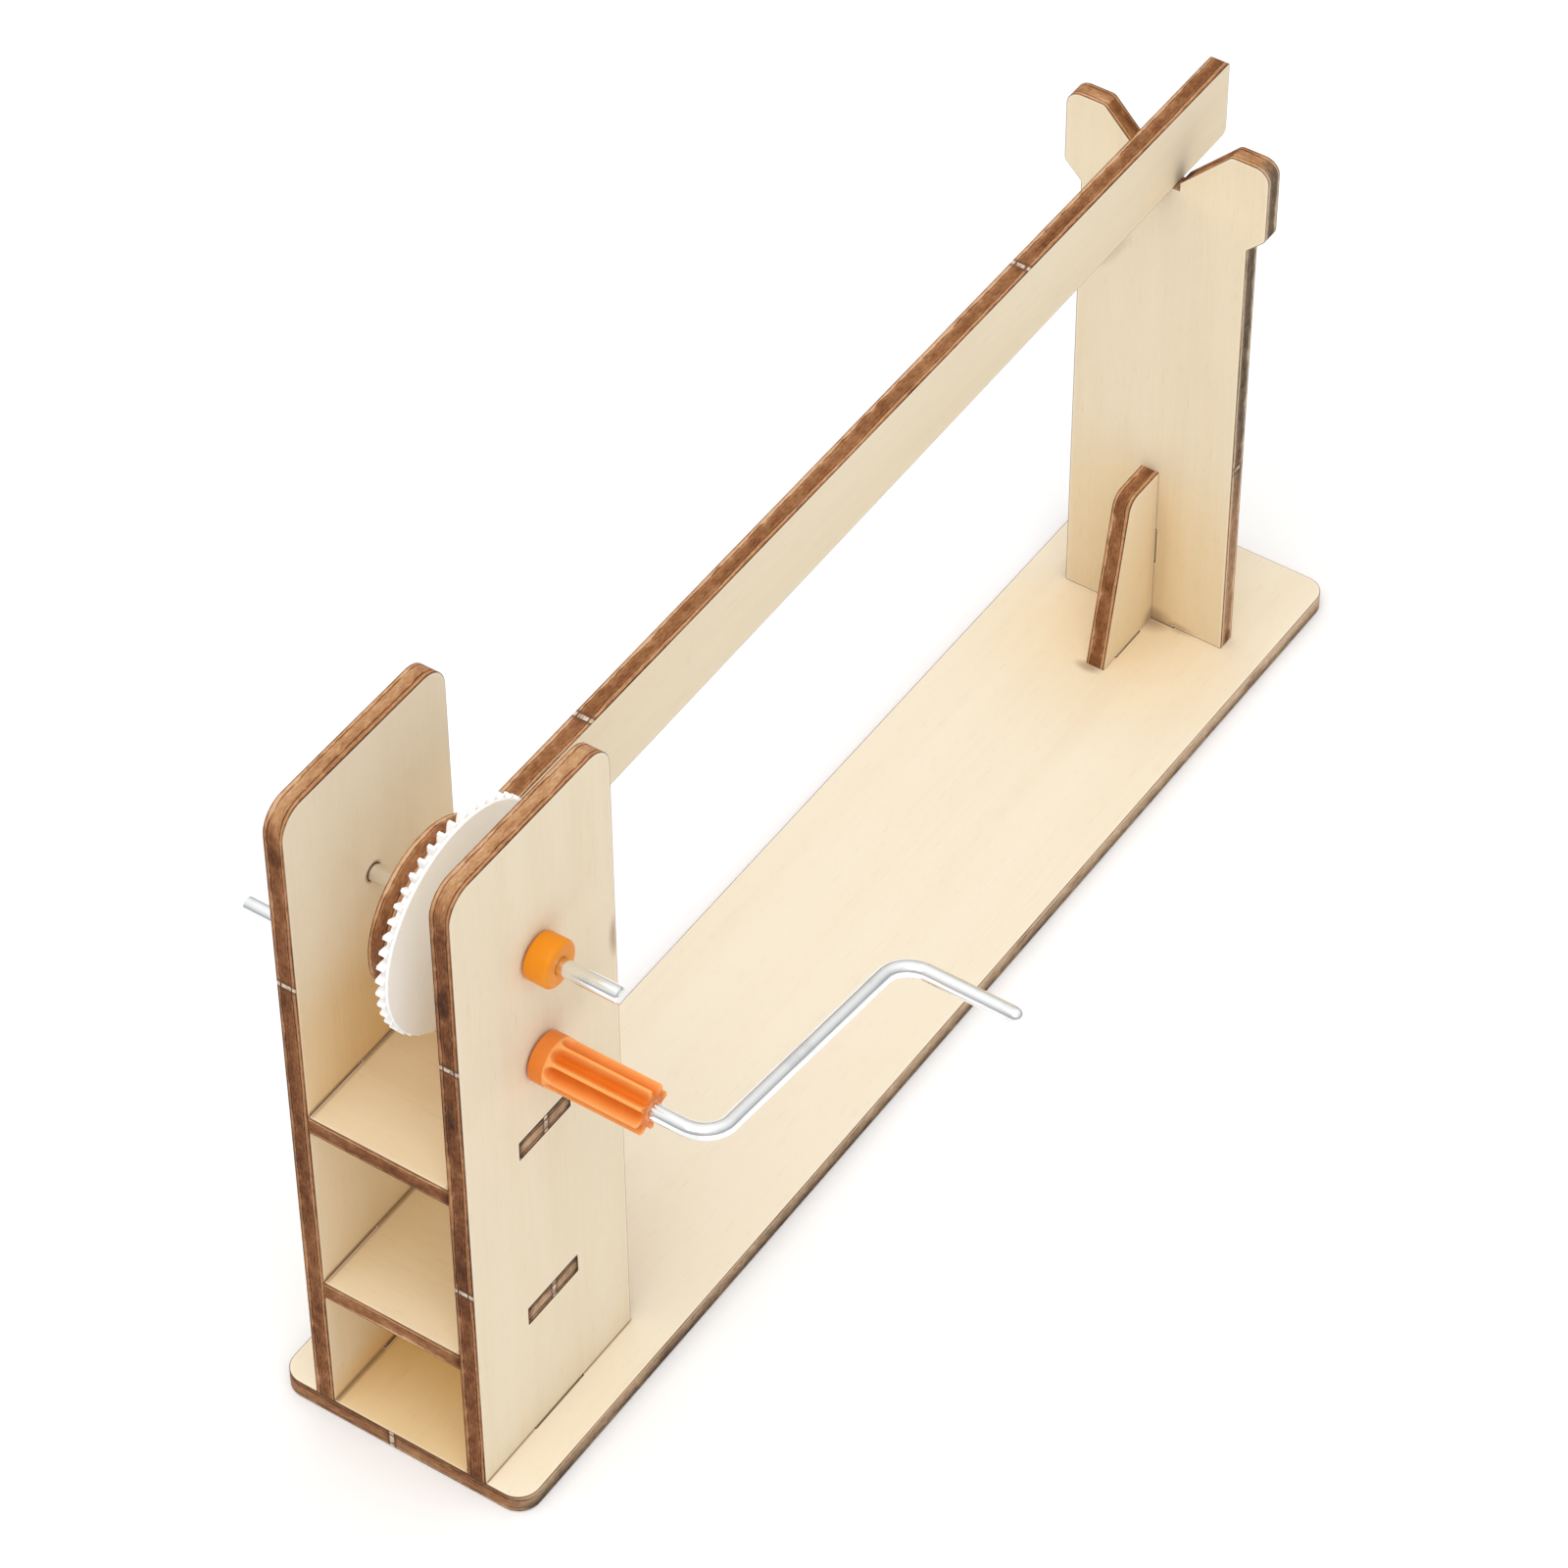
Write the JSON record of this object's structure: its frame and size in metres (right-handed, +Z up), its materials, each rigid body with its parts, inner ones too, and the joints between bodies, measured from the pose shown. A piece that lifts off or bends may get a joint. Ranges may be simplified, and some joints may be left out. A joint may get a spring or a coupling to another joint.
{
  "type": "hand-cranked barrier gate model kit",
  "caption": "Plywood model of a lifting barrier gate: a hand crank turns a small pinion and a large gear that lift a long arm out of a forked post.",
  "frame": {"origin": "middle of the base plate's underside", "axes": "+Z up, +Y along the base from the geared tower to the rest post, +X across to the side with the crank"},
  "size_m": [0.0762, 0.175, 0.0965],
  "materials": {
    "plywood": "bare, laser cut, with burnt brown edges",
    "white_plastic": "satin moulded",
    "orange_plastic": "satin moulded",
    "steel_rod": "bright nickel plate"
  },
  "bodies": {
    "stand": {"base_plate": "plywood", "left_side_plate": "plywood", "right_side_plate": "plywood", "upper_shelf": "plywood", "lower_shelf": "plywood", "rest_post": "plywood", "post_brace": "plywood"},
    "gate": {"gate_arm": "plywood", "lift_gear": "white_plastic", "gate_axle": "steel_rod", "axle_bush_right": "orange_plastic", "axle_bush_left": "orange_plastic"},
    "crank": {"crank_rod": "steel_rod", "crank_grip": "orange_plastic", "drive_pinion": "orange_plastic"}
  },
  "joints": [
    {"name": "gate_lift", "type": "hinge", "parent": "stand", "child": "gate", "pos_m": [0, -0.0735, 0.0768], "axis": [1, 0, 0], "range_deg": [0, 90]},
    {"name": "crank_turn", "type": "hinge", "parent": "stand", "child": "crank", "pos_m": [0, -0.0735, 0.06112], "axis": [1, 0, 0], "range_deg": [-540, 0]}
  ],
  "couplings": [
    {"joint": "crank_turn", "follows": "gate_lift", "ratio": -6}
  ]
}
